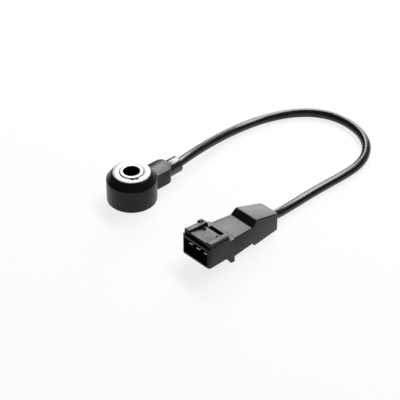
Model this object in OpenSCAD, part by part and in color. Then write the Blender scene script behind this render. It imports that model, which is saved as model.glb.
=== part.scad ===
// Ring-type engine knock sensor with a short fly lead and a three-way connector.
// The origin is the centre of the bolt bore on the metal face that is clamped to the engine.
// +Z runs up the bore and +X runs out along the cable neck.

/* [Sleeve] */
// Diameter of the bolt bore through the steel sleeve
bore_d = 8.4; // [8.0:0.1:8.8]
// Outside diameter of the sleeve above its flange
sleeve_d = 13; // [12.4:0.1:13.4]
// Height of the sleeve, which is the clamped length under the bolt head
sleeve_h = 18; // [17.6:0.1:19]
// Chamfer at both mouths of the bore
bore_chamfer = 0.3; // [0.1:0.05:0.5]
// Width by which the sleeve's base flange stands out past the stack
flange_over = 1; // [0.6:0.1:1.4]
// Thickness of the sleeve's base flange
flange_t = 2.2; // [1.8:0.1:2.5]

/* [Sensing stack] */
// Width of the rings clamped on the sleeve, from their inside to their outside
stack_w = 2.9; // [2.4:0.1:3.2]
// Wall of the insulating tube between the sleeve and the stack
tube_wall = 0.4; // [0.3:0.05:0.55]
// Thickness of each insulating disc
insulator_t = 0.4; // [0.3:0.05:0.5]
// Thickness of each brass contact ring
contact_t = 0.4; // [0.3:0.05:0.5]
// Thickness of the piezoceramic ring
piezo_t = 2.6; // [2.2:0.1:3]
// Height of the steel seismic mass
mass_h = 5.4; // [4.8:0.1:5.8]
// Sheet thickness of the conical disc spring
spring_t = 0.8; // [0.6:0.05:1]
// Cone height of the disc spring when clamped
spring_rise = 0.6; // [0.4:0.05:0.8]
// Width of each soldering tab on the contact rings
tab_w = 2.4; // [1.8:0.1:2.8]
// Length of the soldering tabs past the rings
tab_l = 3.6; // [2.8:0.1:4]

/* [Ring nut] */
// Width of the ring nut that clamps the stack, from the sleeve to its outside
nut_w = 3.2; // [2.8:0.1:3.4]
// Depth of the nut's face below the end of the sleeve
nut_drop = 0.4; // [0.2:0.05:0.8]
// Diameter of the round locking notch at the nut's inner edge
notch_d = 5; // [4:0.1:5.6]
// Depth of the locking notch
notch_depth = 0.9; // [0.5:0.1:1.4]
// Direction of the locking notch around the bore
notch_angle = -119; // [-180:1:180]

/* [Head housing] */
// Wall of the moulded body round the stack
body_wall = 3.2; // [2.8:0.1:3.8]
// Height of the straight wall, up to the conical shoulder
shoulder_z = 13.4; // [12.6:0.1:14.2]
// Depth of the moulded rim below the nut's face
rim_drop = 0.4; // [0.2:0.05:0.6]
// Width of the moulded rim around the nut
rim_w = 0.4; // [0.3:0.05:0.8]
// Gap between the moulding and the clamped face
base_gap = 0.2; // [0.1:0.05:0.5]
// Radius of the body's bottom edge
base_r = 0.6; // [0.3:0.1:1]

/* [Cable neck] */
// Width of the neck block
neck_w = 11; // [10.4:0.1:11.6]
// Reach of the neck block from the bore's axis
neck_reach = 24.6; // [24:0.1:26]
// Height of the neck's underside above the clamped face
neck_z = 0.9; // [0.4:0.1:1.4]
// Height of the neck's crown
neck_crown_z = 12.2; // [12:0.1:12.8]
// Radius of the neck's slightly arched top
neck_arch_r = 16; // [14:1:30]
// Radius where the neck's sides run into the body
neck_fillet = 3; // [1.5:0.1:4]
// Radius of the neck's outer corners, seen from above
neck_corner = 3.6; // [3:0.1:4]
// Radius of the neck's lower edges
neck_low_r = 2.2; // [1.4:0.1:2.4]
// Radius of the lower edge at the neck's end
neck_end_r = 1.3; // [0.6:0.1:1.4]
// Wall of the wire chamber inside the neck
neck_wall = 1.8; // [1.6:0.05:2]
// Height of the cable's axis above the clamped face
cable_z = 6.9; // [6.6:0.1:7.2]
// Diameter of the rubber grommet outside the neck
grommet_d = 9; // [8.4:0.1:9.2]
// Length of the grommet outside the neck
grommet_l = 7.6; // [6:0.1:12]
// Depth of the grommet's seat in the neck's end
seat_depth = 1.5; // [1.3:0.1:1.8]
// Diameter of the grommet's tail, which sits in the neck's end wall
tail_d = 6.2; // [6:0.1:6.6]
// Diameter of the bead that keeps the grommet in the neck
bead_d = 7.2; // [7:0.05:7.3]
// Length of the bead
bead_l = 1.2; // [0.8:0.1:1.6]
// Thickness of the neck's end wall
end_wall = 3.5; // [3.2:0.1:4]

/* [Cable] */
// Diameter of the cable's jacket
cable_d = 4.95; // [4.7:0.05:5.05]
// Diameter of each insulated core
core_d = 1.5; // [1.2:0.05:1.6]
// Length of the crimped rings on the jacket
crimp_l = 1.7; // [1.2:0.1:2.2]
// Wall of the crimped rings
crimp_wall = 0.5; // [0.4:0.05:0.6]

/* [Connector housing] */
// Width of the socket body
shroud_w = 19.8; // [18.8:0.1:20.4]
// Height of the socket body
shroud_h = 11.7; // [11.4:0.1:12.4]
// Wall of the socket above and below
shroud_wall = 1.3; // [1.1:0.05:1.6]
// Wall of the socket at its sides
side_wall = 1.9; // [1.8:0.05:2.2]
// Radius of the upright edges at the mouth
mouth_r = 1.7; // [1:0.1:1.7]
// Chamfer along the top of the mouth
mouth_chamfer = 0.4; // [0.2:0.05:0.6]
// Wall behind the terminal carrier
back_wall = 3; // [2.6:0.1:3.2]
// Length of the socket body, up to the groove in front of the collar
shroud_l = 14.6; // [14:0.1:16]
// Depth of the socket, from its mouth to the terminal carrier
socket_depth = 9; // [8:0.1:10]
// Radius of the body's lower edges
lower_r = 0.6; // [0.3:0.1:1]
// Radius of the body's upper edges
upper_r = 0.6; // [0.3:0.1:1]
// Distance of the guide rails and the ramp from the mouth
rail_start = 1.2; // [0.8:0.1:1.4]
// Length of the guide rails
rail_l = 13.2; // [12:0.1:13.2]
// Width of each guide rail
rail_w = 3.2; // [2.6:0.1:3.3]
// Inset of the rails from the body's sides
rail_inset = 0.6; // [0.5:0.1:1]
// Height of the rails above the body at the mouth
rail_h = 2.8; // [2.4:0.1:3.6]
// Height of the rails above the body at the collar
rail_end_h = 1.4; // [1:0.1:2.2]
// Width of the latch ramp between the rails
ramp_w = 12; // [10:0.1:13]
// Length of the latch ramp
ramp_l = 11; // [10:0.1:11.4]
// Height of the ramp's front edge above the body
ramp_h = 2.1; // [1.6:0.1:2.4]
// Diameter of the two nubs on the ramp
nub_d = 1.2; // [0.8:0.1:1.6]
// Height of the nubs above the body
nub_h = 1.1; // [0.8:0.1:1.4]
// Length of the lug beside the far rail
lug_l = 3.8; // [3:0.1:5]
// Width of that lug
lug_w = 1.4; // [1:0.1:1.8]
// Height of that lug above the body
lug_h = 2.7; // [2:0.1:3.4]
// Width of the key rib under the body
key_w = 4.3; // [3:0.1:6]
// Depth of the key rib
key_h = 1; // [0.6:0.1:1.4]
// Length of the key rib
key_l = 12; // [8:0.1:13]

/* [Connector collar] */
// Width of the groove in front of the collar
groove_w = 2.1; // [1.6:0.1:3]
// Depth of that groove below the body's top
groove_depth = 1.8; // [1.4:0.1:2.2]
// Depth of the latch's pocket between the ramp and the collar, below the body's top
pocket_depth = 3.4; // [2.6:0.1:3.5]
// Thickness of the collar
collar_t = 1.7; // [1.6:0.1:2.6]
// Height of the collar's top above the body's bottom
collar_h = 9.9; // [9.6:0.1:10.6]
// Inset of the collar's ends from the body's sides
collar_inset = 0.5; // [0.2:0.05:0.8]
// Drop of the collar's foot below the body's bottom
foot_drop = 5.1; // [4.4:0.1:5.6]
// Length of the foot in front of the collar's back
foot_l = 4.6; // [3.6:0.1:5.4]
// Length of the spigot that the boot grips
spigot_l = 4; // [3:0.1:5]
// Wall of the spigot
spigot_wall = 0.8; // [0.7:0.05:0.9]

/* [Terminals] */
// Distance between neighbouring blades
blade_pitch = 5.4; // [5:0.1:5.5]
// Width of each blade
blade_w = 2.8; // [2.4:0.1:3]
// Thickness of each blade
blade_t = 0.8; // [0.6:0.05:1]
// Height of the blades above the body's bottom
blade_z = 6.8; // [6.6:0.1:6.9]
// Distance of the blade tips behind the mouth
blade_recess = 1.7; // [1.2:0.1:3]
// Depth that the crimp barrels lie below the blades
barrel_drop = 1.1; // [0.9:0.1:1.2]
// Length of the crimp barrels
barrel_l = 3.7; // [3.2:0.1:3.8]
// Wall of the crimp barrels
barrel_wall = 0.4; // [0.3:0.05:0.45]

/* [Boot] */
// Length of the flat section behind the collar
flat_l = 13.5; // [12:0.1:15]
// Length of the step up to the boot's hump
step_l = 3.4; // [2:0.1:4]
// Length from the top of the step to the back of the boot
hump_l = 17.2; // [16:0.1:20]
// Width of the boot at the collar
boot_w = 17.8; // [17.4:0.1:18.4]
// Width of the boot at the step
boot_mid_w = 15.8; // [15:0.1:16.4]
// Width of the boot at its back
boot_end_w = 12.6; // [12:0.1:13.6]
// Height of the flat section at the collar
flat_h = 9.3; // [9.2:0.1:9.6]
// Height of the flat section at the step
flat_end_h = 7.8; // [7.7:0.1:8.6]
// Height of the hump
hump_h = 10.8; // [10:0.1:12]
// Height of the boot's back
boot_end_h = 5.2; // [4.6:0.1:6.4]
// Height of the flat section's underside, measured from the socket body's bottom
flat_z = -2.8; // [-3.4:0.1:-2]
// Height of the cable's axis in the boot, measured from the socket body's bottom
boot_cable_z = -1; // [-1:0.1:0.4]
// Length of the jacket held inside the boot
grip_l = 9.8; // [9:0.1:11]

/* [Connector place] */
// Place of the mouth along the neck's direction
plug_x = -14.5; // [-22:0.5:-12]
// Place of the mouth to the side of the neck's direction
plug_y = -65; // [-70:0.5:-60]
// Turn of the connector about the vertical
plug_yaw = 1; // [0:0.5:3]

/* [Hidden] */

$fn = 72;
// Clearance between moulded or turned parts that fit into each other
fit = 0.1;
// Clearance between the stack and the body moulded over it
stack_fit = 0.15;
// Extra length of a cutting shape past the face it opens
over = 0.5;

// Chamfers of the turned parts, and the gap between the spring's rim and the mass's edge
turned_edge = 0.3;
mass_edge = 0.4;
nut_edge = 0.2;
spring_inset = 0.6;

// Heights of the stack, from the sleeve's flange upwards
lower_insulator_z = flange_t;
lower_contact_z = lower_insulator_z + insulator_t;
piezo_z = lower_contact_z + contact_t;
upper_contact_z = piezo_z + piezo_t;
upper_insulator_z = upper_contact_z + contact_t;
mass_z = upper_insulator_z + insulator_t;
spring_z = mass_z + mass_h;
nut_z = spring_z + spring_rise + spring_t;
nut_top = sleeve_h - nut_drop;
tube_top = mass_z + mass_h;

tube_inner_r = sleeve_d / 2 + fit;
tube_outer_r = tube_inner_r + tube_wall;
stack_inner_r = tube_outer_r + fit;
stack_r = stack_inner_r + stack_w;
flange_r = stack_r + flange_over;
tab_reach = stack_r + tab_l;

cavity_r = stack_r + stack_fit;
body_r = cavity_r + body_wall;
nut_inner_r = sleeve_d / 2 + fit;
nut_r = nut_inner_r + nut_w;
nut_hole_r = nut_r + fit;
body_top = nut_top - rim_drop;
flange_hole_r = flange_r + fit;

// The wire chamber in the neck, round the cable's axis
neck_edge = neck_w / 2;
chamber_y = neck_edge - neck_wall;
chamber_low = lower_contact_z - fit;
chamber_high = 2 * cable_z - chamber_low - 0.3;
chamber_end = neck_reach - end_wall;
seat_x = neck_reach - seat_depth;
bead_start = chamber_end - bead_l;
anchor_start = bead_start - crimp_l - fit;
jacket_start = anchor_start - fit;
grommet_end = neck_reach + grommet_l;
cable_hole_r = cable_d / 2 + fit;
tab_y = chamber_y - tab_w / 2 - fit;
core_gap = core_d / 2 + 0.1;

// Places along the connector, from its mouth backwards
collar_x = shroud_l + groove_w;
collar_end = collar_x + collar_t;
step_x = collar_end + flat_l;
hump_x = step_x + step_l;
boot_end = hump_x + hump_l;
carrier_end = shroud_l - back_wall;
socket_y = shroud_w / 2 - side_wall;
socket_top = shroud_h - shroud_wall;
socket_r = 0.5;
ramp_x = rail_start + 0.3;
ramp_end = ramp_x + ramp_l;
nub_x = ramp_end - 1.8;
nub_y = ramp_w / 2 - 1.5;
lug_end = shroud_l - 0.6;
key_start = 2;

// The wires' window behind the carrier, and their narrower passage in the spigot
window_y = blade_pitch + blade_w / 2 + 2 * fit;
window_low = spigot_wall + 1.8;
window_high = blade_z + blade_t / 2 + 2 * fit;
passage_y = blade_pitch + core_d / 2 + 2 * fit;
spigot_end = collar_end + spigot_l;

// Places of the crimp barrels behind the carrier
plate_t = 0.4;
plate_x = carrier_end + plate_t;
barrel_x = plate_x + plate_t - fit;
barrel_z = blade_z - barrel_drop;
barrel_r = core_d / 2 + fit + barrel_wall;

// Places inside the boot, from the wires' chamber to the cable's bore
boot_jacket_x = boot_end - grip_l;
boot_crimp_x = boot_jacket_x + 3 * fit;
boot_bore_x = boot_crimp_x + crimp_l + 3 * fit;
boot_chamber_r = cable_hole_r + crimp_wall + 1.5 * fit;
boot_wall = 0.8;

// The connector rests on its foot and on the boot's back half
plug_lift = foot_drop;

// A point of the connector's own frame, in the sensor's frame
function plug_point(p) = [
    plug_x + p[0] * cos(plug_yaw) - p[1] * sin(plug_yaw),
    plug_y + p[0] * sin(plug_yaw) + p[1] * cos(plug_yaw),
    plug_lift + p[2]
];

// The cable's route, from inside the neck round to the back of the boot
cable_floor = 2.5;
cable_route = concat(
    [
        [jacket_start, 0, cable_z],
        [grommet_end, 0, cable_z]
    ],
    [
        [39, 0.8, 6.8],
        [49, 2.5, 6.1],
        [59.5, 4.1, 5.1],
        [69.5, 5.2, 4.1],
        [79, 5.7, 3.2],
        [88, 5.3, 2.7],
        [96, 4.1, cable_floor],
        [103, 2.1, cable_floor],
        [110, -0.7, cable_floor],
        [117, -4.7, cable_floor],
        [124.5, -11.5, cable_floor],
        [129.5, -20.7, cable_floor],
        [131, -31.5, cable_floor],
        [129, -42.5, cable_floor],
        [123.5, -52, cable_floor],
        [115, -58.8, cable_floor],
        [105, -62.2, cable_floor],
        [94, -62.9, cable_floor],
        [82, -62.7, cable_floor],
        [70, -62.6, cable_floor],
        [58, -62.9, cable_floor],
        [47, -63.5, 3]
    ],
    [
        plug_point([boot_end, 0, boot_cable_z]),
        plug_point([boot_jacket_x, 0, boot_cable_z])
    ]
);

// An outline whose corners [x, y, radius] are rounded by arcs of that radius
arc_steps = 5;
function unit2(v) = v / norm(v);
function corner_arc(a, b, c) =
    let(
        p = [b[0], b[1]],
        u = unit2([a[0], a[1]] - p),
        v = unit2([c[0], c[1]] - p),
        half = acos(max(-1, min(1, u * v))) / 2,
        run = b[2] / tan(half),
        centre = p + unit2(u + v) * b[2] / sin(half),
        from = p + u * run - centre,
        to = p + v * run - centre,
        start = atan2(from[1], from[0]),
        turn = atan2(from[0] * to[1] - from[1] * to[0], from * to)
    )
    [for (i = [0:arc_steps]) centre + b[2] * [
        cos(start + turn * i / arc_steps),
        sin(start + turn * i / arc_steps)
    ]];
function rounded(corners) =
    let(n = len(corners))
    [for (i = [0:n - 1])
        let(b = corners[i])
        for (q = b[2] > 0
            ? corner_arc(corners[(i + n - 1) % n], b, corners[(i + 1) % n])
            : [[b[0], b[1]]]) q];

// A plain ring between two radii
module ring(outer_r, inner_r, height) {
    difference() {
        cylinder(r = outer_r, h = height);
        translate([0, 0, -over])
            cylinder(r = inner_r, h = height + 2 * over);
    }
}

// A path of straight first and last stretches, with its other stretches curved in steps
function path_point(r, i, t) =
    let(
        n = len(r) - 1,
        b = r[i],
        c = r[i + 1],
        m1 = i == 1 ? (b - r[0]) / norm(b - r[0]) * norm(c - b) : (c - r[i - 1]) / 2,
        m2 = i + 2 == n ? (r[n] - c) / norm(r[n] - c) * norm(c - b) : (r[i + 2] - b) / 2
    )
    b * (2 * pow(t, 3) - 3 * t * t + 1) + m1 * (pow(t, 3) - 2 * t * t + t)
        + c * (3 * t * t - 2 * pow(t, 3)) + m2 * (pow(t, 3) - t * t);
function smooth(r, steps) =
    concat(
        [r[0]],
        [for (i = [1:len(r) - 3], k = [0:steps - 1]) path_point(r, i, k / steps)],
        [r[len(r) - 2], r[len(r) - 1]]
    );

// A round tube swept along a path
module tube(path, d, sides) {
    n = len(path);
    tangents = [for (i = [0:n - 1])
        let(v = path[min(n - 1, i + 1)] - path[max(0, i - 1)]) v / norm(v)];
    points = [for (i = [0:n - 1])
        let(
            along = tangents[i],
            across = cross([0, 0, 1], along) / norm(cross([0, 0, 1], along)),
            up = cross(along, across)
        )
        for (j = [0:sides - 1])
            path[i] + d / 2 * (cos(360 * j / sides) * across + sin(360 * j / sides) * up)];
    walls = [for (i = [0:n - 2], j = [0:sides - 1])
        [
            i * sides + j,
            i * sides + (j + 1) % sides,
            (i + 1) * sides + (j + 1) % sides,
            (i + 1) * sides + j
        ]];
    ends = [
        [for (j = [sides - 1:-1:0]) j],
        [for (j = [0:sides - 1]) (n - 1) * sides + j]
    ];
    polyhedron(points = points, faces = concat(walls, ends), convexity = 6);
}

// A side outline in x and z, drawn across the width from -y to +y
module side_profile(points, half_w) {
    translate([0, half_w, 0])
        rotate([90, 0, 0])
            linear_extrude(2 * half_w)
                polygon(points);
}

// A cross-section in y and z, drawn from x1 to x2
module cross_profile(points, x1, x2) {
    translate([x1, 0, 0])
        rotate([90, 0, 90])
            linear_extrude(x2 - x1)
                polygon(points);
}

// Everything on the connector is drawn with its mouth at the origin, then put in its place
module place_plug() {
    translate([plug_x, plug_y, plug_lift])
        rotate([0, 0, plug_yaw])
            children();
}

// The turned steel sleeve that carries the clamping force of the bolt
module flanged_sleeve() {
    color("silver")
        rotate_extrude()
            polygon([
                [bore_d / 2 + bore_chamfer, 0],
                [flange_r - turned_edge, 0],
                [flange_r, turned_edge],
                [flange_r, flange_t],
                [sleeve_d / 2, flange_t],
                [sleeve_d / 2, sleeve_h - turned_edge],
                [sleeve_d / 2 - turned_edge, sleeve_h],
                [bore_d / 2 + bore_chamfer, sleeve_h],
                [bore_d / 2, sleeve_h - bore_chamfer],
                [bore_d / 2, bore_chamfer]
            ]);
}

// The plastic tube that keeps the live rings off the sleeve
module insulating_tube() {
    color("white")
        translate([0, 0, flange_t])
            ring(tube_outer_r, tube_inner_r, tube_top - flange_t);
}

// An insulating disc under or over the live rings
module insulator(z) {
    color("white")
        translate([0, 0, z])
            ring(stack_r, stack_inner_r, insulator_t);
}

// A brass contact ring with its soldering tab on one side of the neck
module contact_ring(z, side) {
    color("gold")
        translate([0, 0, z]) {
            difference() {
                union() {
                    cylinder(r = stack_r, h = contact_t);
                    translate([stack_inner_r, side * tab_y - tab_w / 2, 0])
                        cube([tab_reach - stack_inner_r, tab_w, contact_t]);
                }
                translate([0, 0, -over])
                    cylinder(r = stack_inner_r, h = contact_t + 2 * over);
            }
        }
}

// The piezoceramic ring that turns the mass's force into charge
module piezo_ring() {
    color("lightyellow")
        translate([0, 0, piezo_z])
            ring(stack_r, stack_inner_r, piezo_t);
}

// The steel ring whose inertia presses on the ceramic
module seismic_mass() {
    color("darkgray")
        translate([0, 0, mass_z])
            rotate_extrude()
                polygon([
                    [stack_inner_r, 0],
                    [stack_r, 0],
                    [stack_r, mass_h - mass_edge],
                    [stack_r - mass_edge, mass_h],
                    [stack_inner_r, mass_h]
                ]);
}

// The conical spring that holds the preload between the mass and the nut
module disc_spring() {
    color("slategray")
        translate([0, 0, spring_z])
            rotate_extrude()
                polygon([
                    [stack_inner_r, spring_rise],
                    [stack_r - spring_inset, 0],
                    [stack_r - spring_inset, spring_t],
                    [stack_inner_r, spring_rise + spring_t]
                ]);
}

// The ring nut on the sleeve, with its bright face and its locking notch
module ring_nut() {
    color("silver")
        difference() {
            translate([0, 0, nut_z])
                rotate_extrude()
                    polygon([
                        [nut_inner_r, 0],
                        [nut_r, 0],
                        [nut_r, nut_top - nut_z - nut_edge],
                        [nut_r - nut_edge, nut_top - nut_z],
                        [nut_inner_r, nut_top - nut_z]
                    ]);
            rotate([0, 0, notch_angle])
                translate([sleeve_d / 2 - notch_d / 6, 0, nut_top - notch_depth])
                    cylinder(d = notch_d, h = notch_depth + over, $fn = 48);
        }
}

// The neck's cross-section: straight sides under a slightly arched top, rounded below
module neck_section() {
    intersection() {
        polygon(rounded([
            [-neck_edge, neck_z, neck_low_r],
            [neck_edge, neck_z, neck_low_r],
            [neck_edge, neck_crown_z, 0],
            [-neck_edge, neck_crown_z, 0]
        ]));
        translate([0, neck_crown_z - neck_arch_r])
            circle(r = neck_arch_r, $fn = 96);
    }
}

// The outline that fills the corners between the body and the neck's sides
module neck_fillets() {
    reach = body_r + neck_fillet;
    side = neck_edge + neck_fillet;
    along = sqrt(reach * reach - side * side);
    for (s = [-1, 1])
        difference() {
            polygon([
                [0, 0],
                [along, 0],
                [along, s * side],
                [along * body_r / reach, s * side * body_r / reach]
            ]);
            translate([along, s * side])
                circle(r = neck_fillet);
        }
}

// The plan outline of the neck with rounded outer corners
module neck_plan() {
    polygon(rounded([
        [0, -neck_edge, 0],
        [neck_reach, -neck_edge, neck_corner],
        [neck_reach, neck_edge, neck_corner],
        [0, neck_edge, 0]
    ]));
}

// The black body moulded over the stack, with its neck for the cable
module head_housing() {
    edge_z = neck_crown_z - neck_arch_r + sqrt(pow(neck_arch_r, 2) - pow(neck_edge, 2));
    color([0.09, 0.09, 0.1])
        difference() {
            union() {
                rotate_extrude()
                    polygon(rounded([
                        [0, base_gap, 0],
                        [body_r, base_gap, base_r],
                        [body_r, shoulder_z, 0.3],
                        [nut_hole_r + rim_w, body_top, 0],
                        [0, body_top, 0]
                    ]));
                intersection() {
                    rotate([90, 0, 90])
                        linear_extrude(neck_reach)
                            neck_section();
                    linear_extrude(neck_crown_z)
                        neck_plan();
                    side_profile(rounded([
                        [0, neck_z, 0],
                        [neck_reach, neck_z, neck_end_r],
                        [neck_reach, neck_crown_z, 0.4],
                        [0, neck_crown_z, 0]
                    ]), neck_edge);
                }
                translate([0, 0, neck_z + neck_low_r])
                    linear_extrude(edge_z - neck_z - neck_low_r - 0.4)
                        neck_fillets();
            }
            // Seat of the base flange
            translate([0, 0, base_gap - over])
                cylinder(r = flange_hole_r, h = flange_t - base_gap + over);
            // Room of the stack
            translate([0, 0, flange_t - over])
                cylinder(r = cavity_r, h = nut_z - flange_t + over);
            // Hole round the nut
            translate([0, 0, nut_z - over])
                cylinder(r = nut_hole_r, h = body_top - nut_z + 2 * over);
            // Chamber of the wires
            translate([stack_inner_r, -chamber_y, chamber_low])
                cube([chamber_end - stack_inner_r, 2 * chamber_y, chamber_high - chamber_low]);
            // Hole of the grommet's tail, and the seat of its shoulder
            translate([chamber_end - over, 0, cable_z])
                rotate([0, 90, 0])
                    cylinder(d = tail_d + 2 * fit, h = end_wall + 2 * over);
            translate([seat_x, 0, cable_z])
                rotate([0, 90, 0])
                    cylinder(d = grommet_d + 2 * fit, h = seat_depth + over);
        }
}

// The rubber grommet round the cable, held by its bead behind the neck's end wall
module cable_grommet() {
    color([0.12, 0.12, 0.13])
        translate([0, 0, cable_z])
            rotate([0, 90, 0])
                rotate_extrude()
                    polygon([
                        [cable_hole_r, bead_start],
                        [bead_d / 2, bead_start],
                        [bead_d / 2, chamber_end],
                        [tail_d / 2, chamber_end],
                        [tail_d / 2, seat_x],
                        [grommet_d / 2, seat_x],
                        [grommet_d / 2, grommet_end - 0.5],
                        [grommet_d / 2 - 0.5, grommet_end],
                        [cable_hole_r, grommet_end]
                    ]);
}

// A crimped brass ring round the jacket, standing along x
module crimp_ring() {
    rotate([0, 90, 0])
        ring(cable_hole_r + crimp_wall, cable_hole_r, crimp_l);
}

// The ring that takes the cable's pull against the grommet
module cable_anchor() {
    color("goldenrod")
        translate([anchor_start, 0, cable_z])
            crimp_ring();
}

// An insulated core from the jacket to its contact ring's tab
module signal_core(side, tab_top) {
    rest = tab_top + core_gap;
    pair_y = core_d / 2 + fit;
    inset = 0.8;
    color(side > 0 ? "firebrick" : "white")
        tube(smooth([
            [jacket_start - fit, side * pair_y, cable_z],
            [jacket_start - inset, side * pair_y, cable_z],
            [tab_reach - inset, side * tab_y, rest],
            [stack_r + inset, side * tab_y, rest]
        ], 5), core_d, 8);
}

// The jacketed cable, swept along its route as one tube
module cable() {
    color([0.07, 0.07, 0.08])
        tube(smooth(cable_route, 2), cable_d, 10);
}

// The socket body's cross-section
shroud_section = rounded([
    [-shroud_w / 2, 0, lower_r],
    [shroud_w / 2, 0, lower_r],
    [shroud_w / 2, shroud_h, upper_r],
    [-shroud_w / 2, shroud_h, upper_r]
]);

// The socket's cross-section, smaller by a gap for what sits in it
function socket_section(gap) =
    rounded([
        [-socket_y + gap, shroud_wall + gap, socket_r],
        [socket_y - gap, shroud_wall + gap, socket_r],
        [socket_y - gap, socket_top - gap, socket_r],
        [-socket_y + gap, socket_top - gap, socket_r]
    ]);

// The outside of the socket body, with rounded upright edges at its mouth
module shroud_outside() {
    intersection() {
        cross_profile(shroud_section, 0, shroud_l);
        side_profile([
            [0, 0],
            [shroud_l, 0],
            [shroud_l, shroud_h],
            [mouth_chamfer, shroud_h],
            [0, shroud_h - mouth_chamfer]
        ], shroud_w);
        linear_extrude(shroud_h)
            polygon(rounded([
                [0, -shroud_w / 2, mouth_r],
                [shroud_l, -shroud_w / 2, 0],
                [shroud_l, shroud_w / 2, 0],
                [0, shroud_w / 2, mouth_r]
            ]));
    }
}

// The two guide rails, lower towards the collar
module guide_rails() {
    outer = shroud_w / 2 - rail_inset;
    for (s = [-1, 1])
        translate([0, s * (outer - rail_w / 2), 0])
            side_profile(rounded([
                [rail_start, shroud_h - 1, 0],
                [rail_start + rail_l, shroud_h - 1, 0],
                [rail_start + rail_l, shroud_h + rail_end_h, 0.4],
                [rail_start, shroud_h + rail_h, 0.5]
            ]), rail_w / 2);
}

// The latch ramp between the rails, with its two nubs
module latch_ramp() {
    side_profile(rounded([
        [ramp_x, shroud_h - 1, 0],
        [ramp_end, shroud_h - 1, 0],
        [ramp_end, shroud_h - 0.3, 0],
        [ramp_x, shroud_h + ramp_h, 0.3]
    ]), ramp_w / 2);
    for (s = [-1, 1])
        translate([nub_x, s * nub_y, shroud_h - over])
            cylinder(d = nub_d, h = over + nub_h, $fn = 24);
}

// The collar with its foot, behind the groove
module collar() {
    half_w = shroud_w / 2 - collar_inset;
    side_profile(rounded([
        [collar_end, 0, 0],
        [collar_end, collar_h, 0.3],
        [collar_x, collar_h, 0.3],
        [collar_x, 0, 0]
    ]), half_w);
    side_profile(rounded([
        [collar_end, 0.6, 0],
        [collar_end - foot_l - 1.4, 0.6, 0],
        [collar_end - foot_l, -foot_drop * 0.3, 1.2],
        [collar_end - foot_l * 0.55, -foot_drop, 0.8],
        [collar_end, -foot_drop, 0]
    ]), half_w);
}

// The window through the collar, and the wires' passage through the spigot
module wire_window() {
    high = window_high - window_low;
    translate([carrier_end - over, -window_y, window_low])
        cube([collar_end - carrier_end + over, 2 * window_y, high]);
    translate([collar_end - over, -passage_y, window_low])
        cube([spigot_l + 2 * over, 2 * passage_y, high]);
}

// The spigot's outside, or its seat in the boot with a gap
module spigot_block(gap) {
    half_w = passage_y + spigot_wall + gap;
    translate([collar_end - over, -half_w, window_low - spigot_wall - gap])
        cube([
            spigot_l + gap + over,
            2 * half_w,
            window_high - window_low + 2 * (spigot_wall + gap)
        ]);
}

// The socket body with rails, ramp, lug, key rib, collar and spigot, moulded as one
module connector_housing() {
    color([0.1, 0.1, 0.11])
        place_plug()
            difference() {
                union() {
                    shroud_outside();
                    guide_rails();
                    latch_ramp();
                    // Lug beside the far rail
                    translate([0, shroud_w / 2 - lug_w / 2, 0])
                        side_profile(rounded([
                            [lug_end - lug_l, shroud_h - 1, 0],
                            [lug_end, shroud_h - 1, 0],
                            [lug_end, shroud_h + lug_h, 0.9],
                            [lug_end - lug_l, shroud_h + lug_h, 0.9]
                        ]), lug_w / 2);
                    // Key rib under the body
                    translate([key_start, -key_w / 2, -key_h])
                        cube([key_l, key_w, key_h + shroud_wall / 2]);
                    // Web under the groove, from the body to the collar
                    cross_profile(rounded([
                        [-shroud_w / 2, 0, lower_r],
                        [shroud_w / 2, 0, lower_r],
                        [shroud_w / 2, shroud_h - groove_depth, upper_r],
                        [-shroud_w / 2, shroud_h - groove_depth, upper_r]
                    ]), shroud_l - 1, collar_x + 0.5);
                    collar();
                    spigot_block(0);
                }
                // The socket and the carrier's seat behind it
                cross_profile(socket_section(0), -over, carrier_end);
                wire_window();
                // The latch's pocket
                translate([ramp_end, -ramp_w / 2, shroud_h - pocket_depth])
                    cube([collar_x - ramp_end, ramp_w, pocket_depth + over]);
            }
}

// The insert that fills the back of the socket and holds the blades
module terminal_carrier() {
    color([0.16, 0.16, 0.17])
        place_plug()
            difference() {
                cross_profile(socket_section(fit), socket_depth, carrier_end);
                for (i = [-1:1])
                    translate([
                        socket_depth - over,
                        i * blade_pitch - blade_w / 2 - fit / 2,
                        blade_z - blade_t / 2 - fit / 2
                    ])
                        cube([shroud_l, blade_w + fit, blade_t + fit]);
            }
}

// A blade with its tapered tip, its bent-down neck and its crimp barrel
module blade_terminal(i) {
    tip = 0.9;
    color("gainsboro")
        place_plug()
            translate([0, i * blade_pitch, 0]) {
                intersection() {
                    side_profile([
                        [blade_recess, blade_z - blade_t / 5],
                        [blade_recess + tip, blade_z - blade_t / 2],
                        [plate_x + plate_t, blade_z - blade_t / 2],
                        [plate_x + plate_t, blade_z + blade_t / 2],
                        [blade_recess + tip, blade_z + blade_t / 2],
                        [blade_recess, blade_z + blade_t / 5]
                    ], blade_w / 2);
                    linear_extrude(shroud_h)
                        polygon([
                            [blade_recess, -blade_w / 2 + 0.5],
                            [blade_recess + tip, -blade_w / 2],
                            [collar_x, -blade_w / 2],
                            [collar_x, blade_w / 2],
                            [blade_recess + tip, blade_w / 2],
                            [blade_recess, blade_w / 2 - 0.5]
                        ]);
                }
                translate([plate_x, -blade_w / 2, barrel_z - barrel_r])
                    cube([plate_t, blade_w, blade_z + blade_t / 2 - barrel_z + barrel_r]);
                translate([barrel_x, 0, barrel_z])
                    rotate([0, 90, 0])
                        difference() {
                            cylinder(r = barrel_r, h = barrel_l, $fn = 32);
                            translate([0, 0, plate_t])
                                cylinder(d = core_d + 2 * fit, h = barrel_l, $fn = 32);
                        }
            }
}

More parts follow.
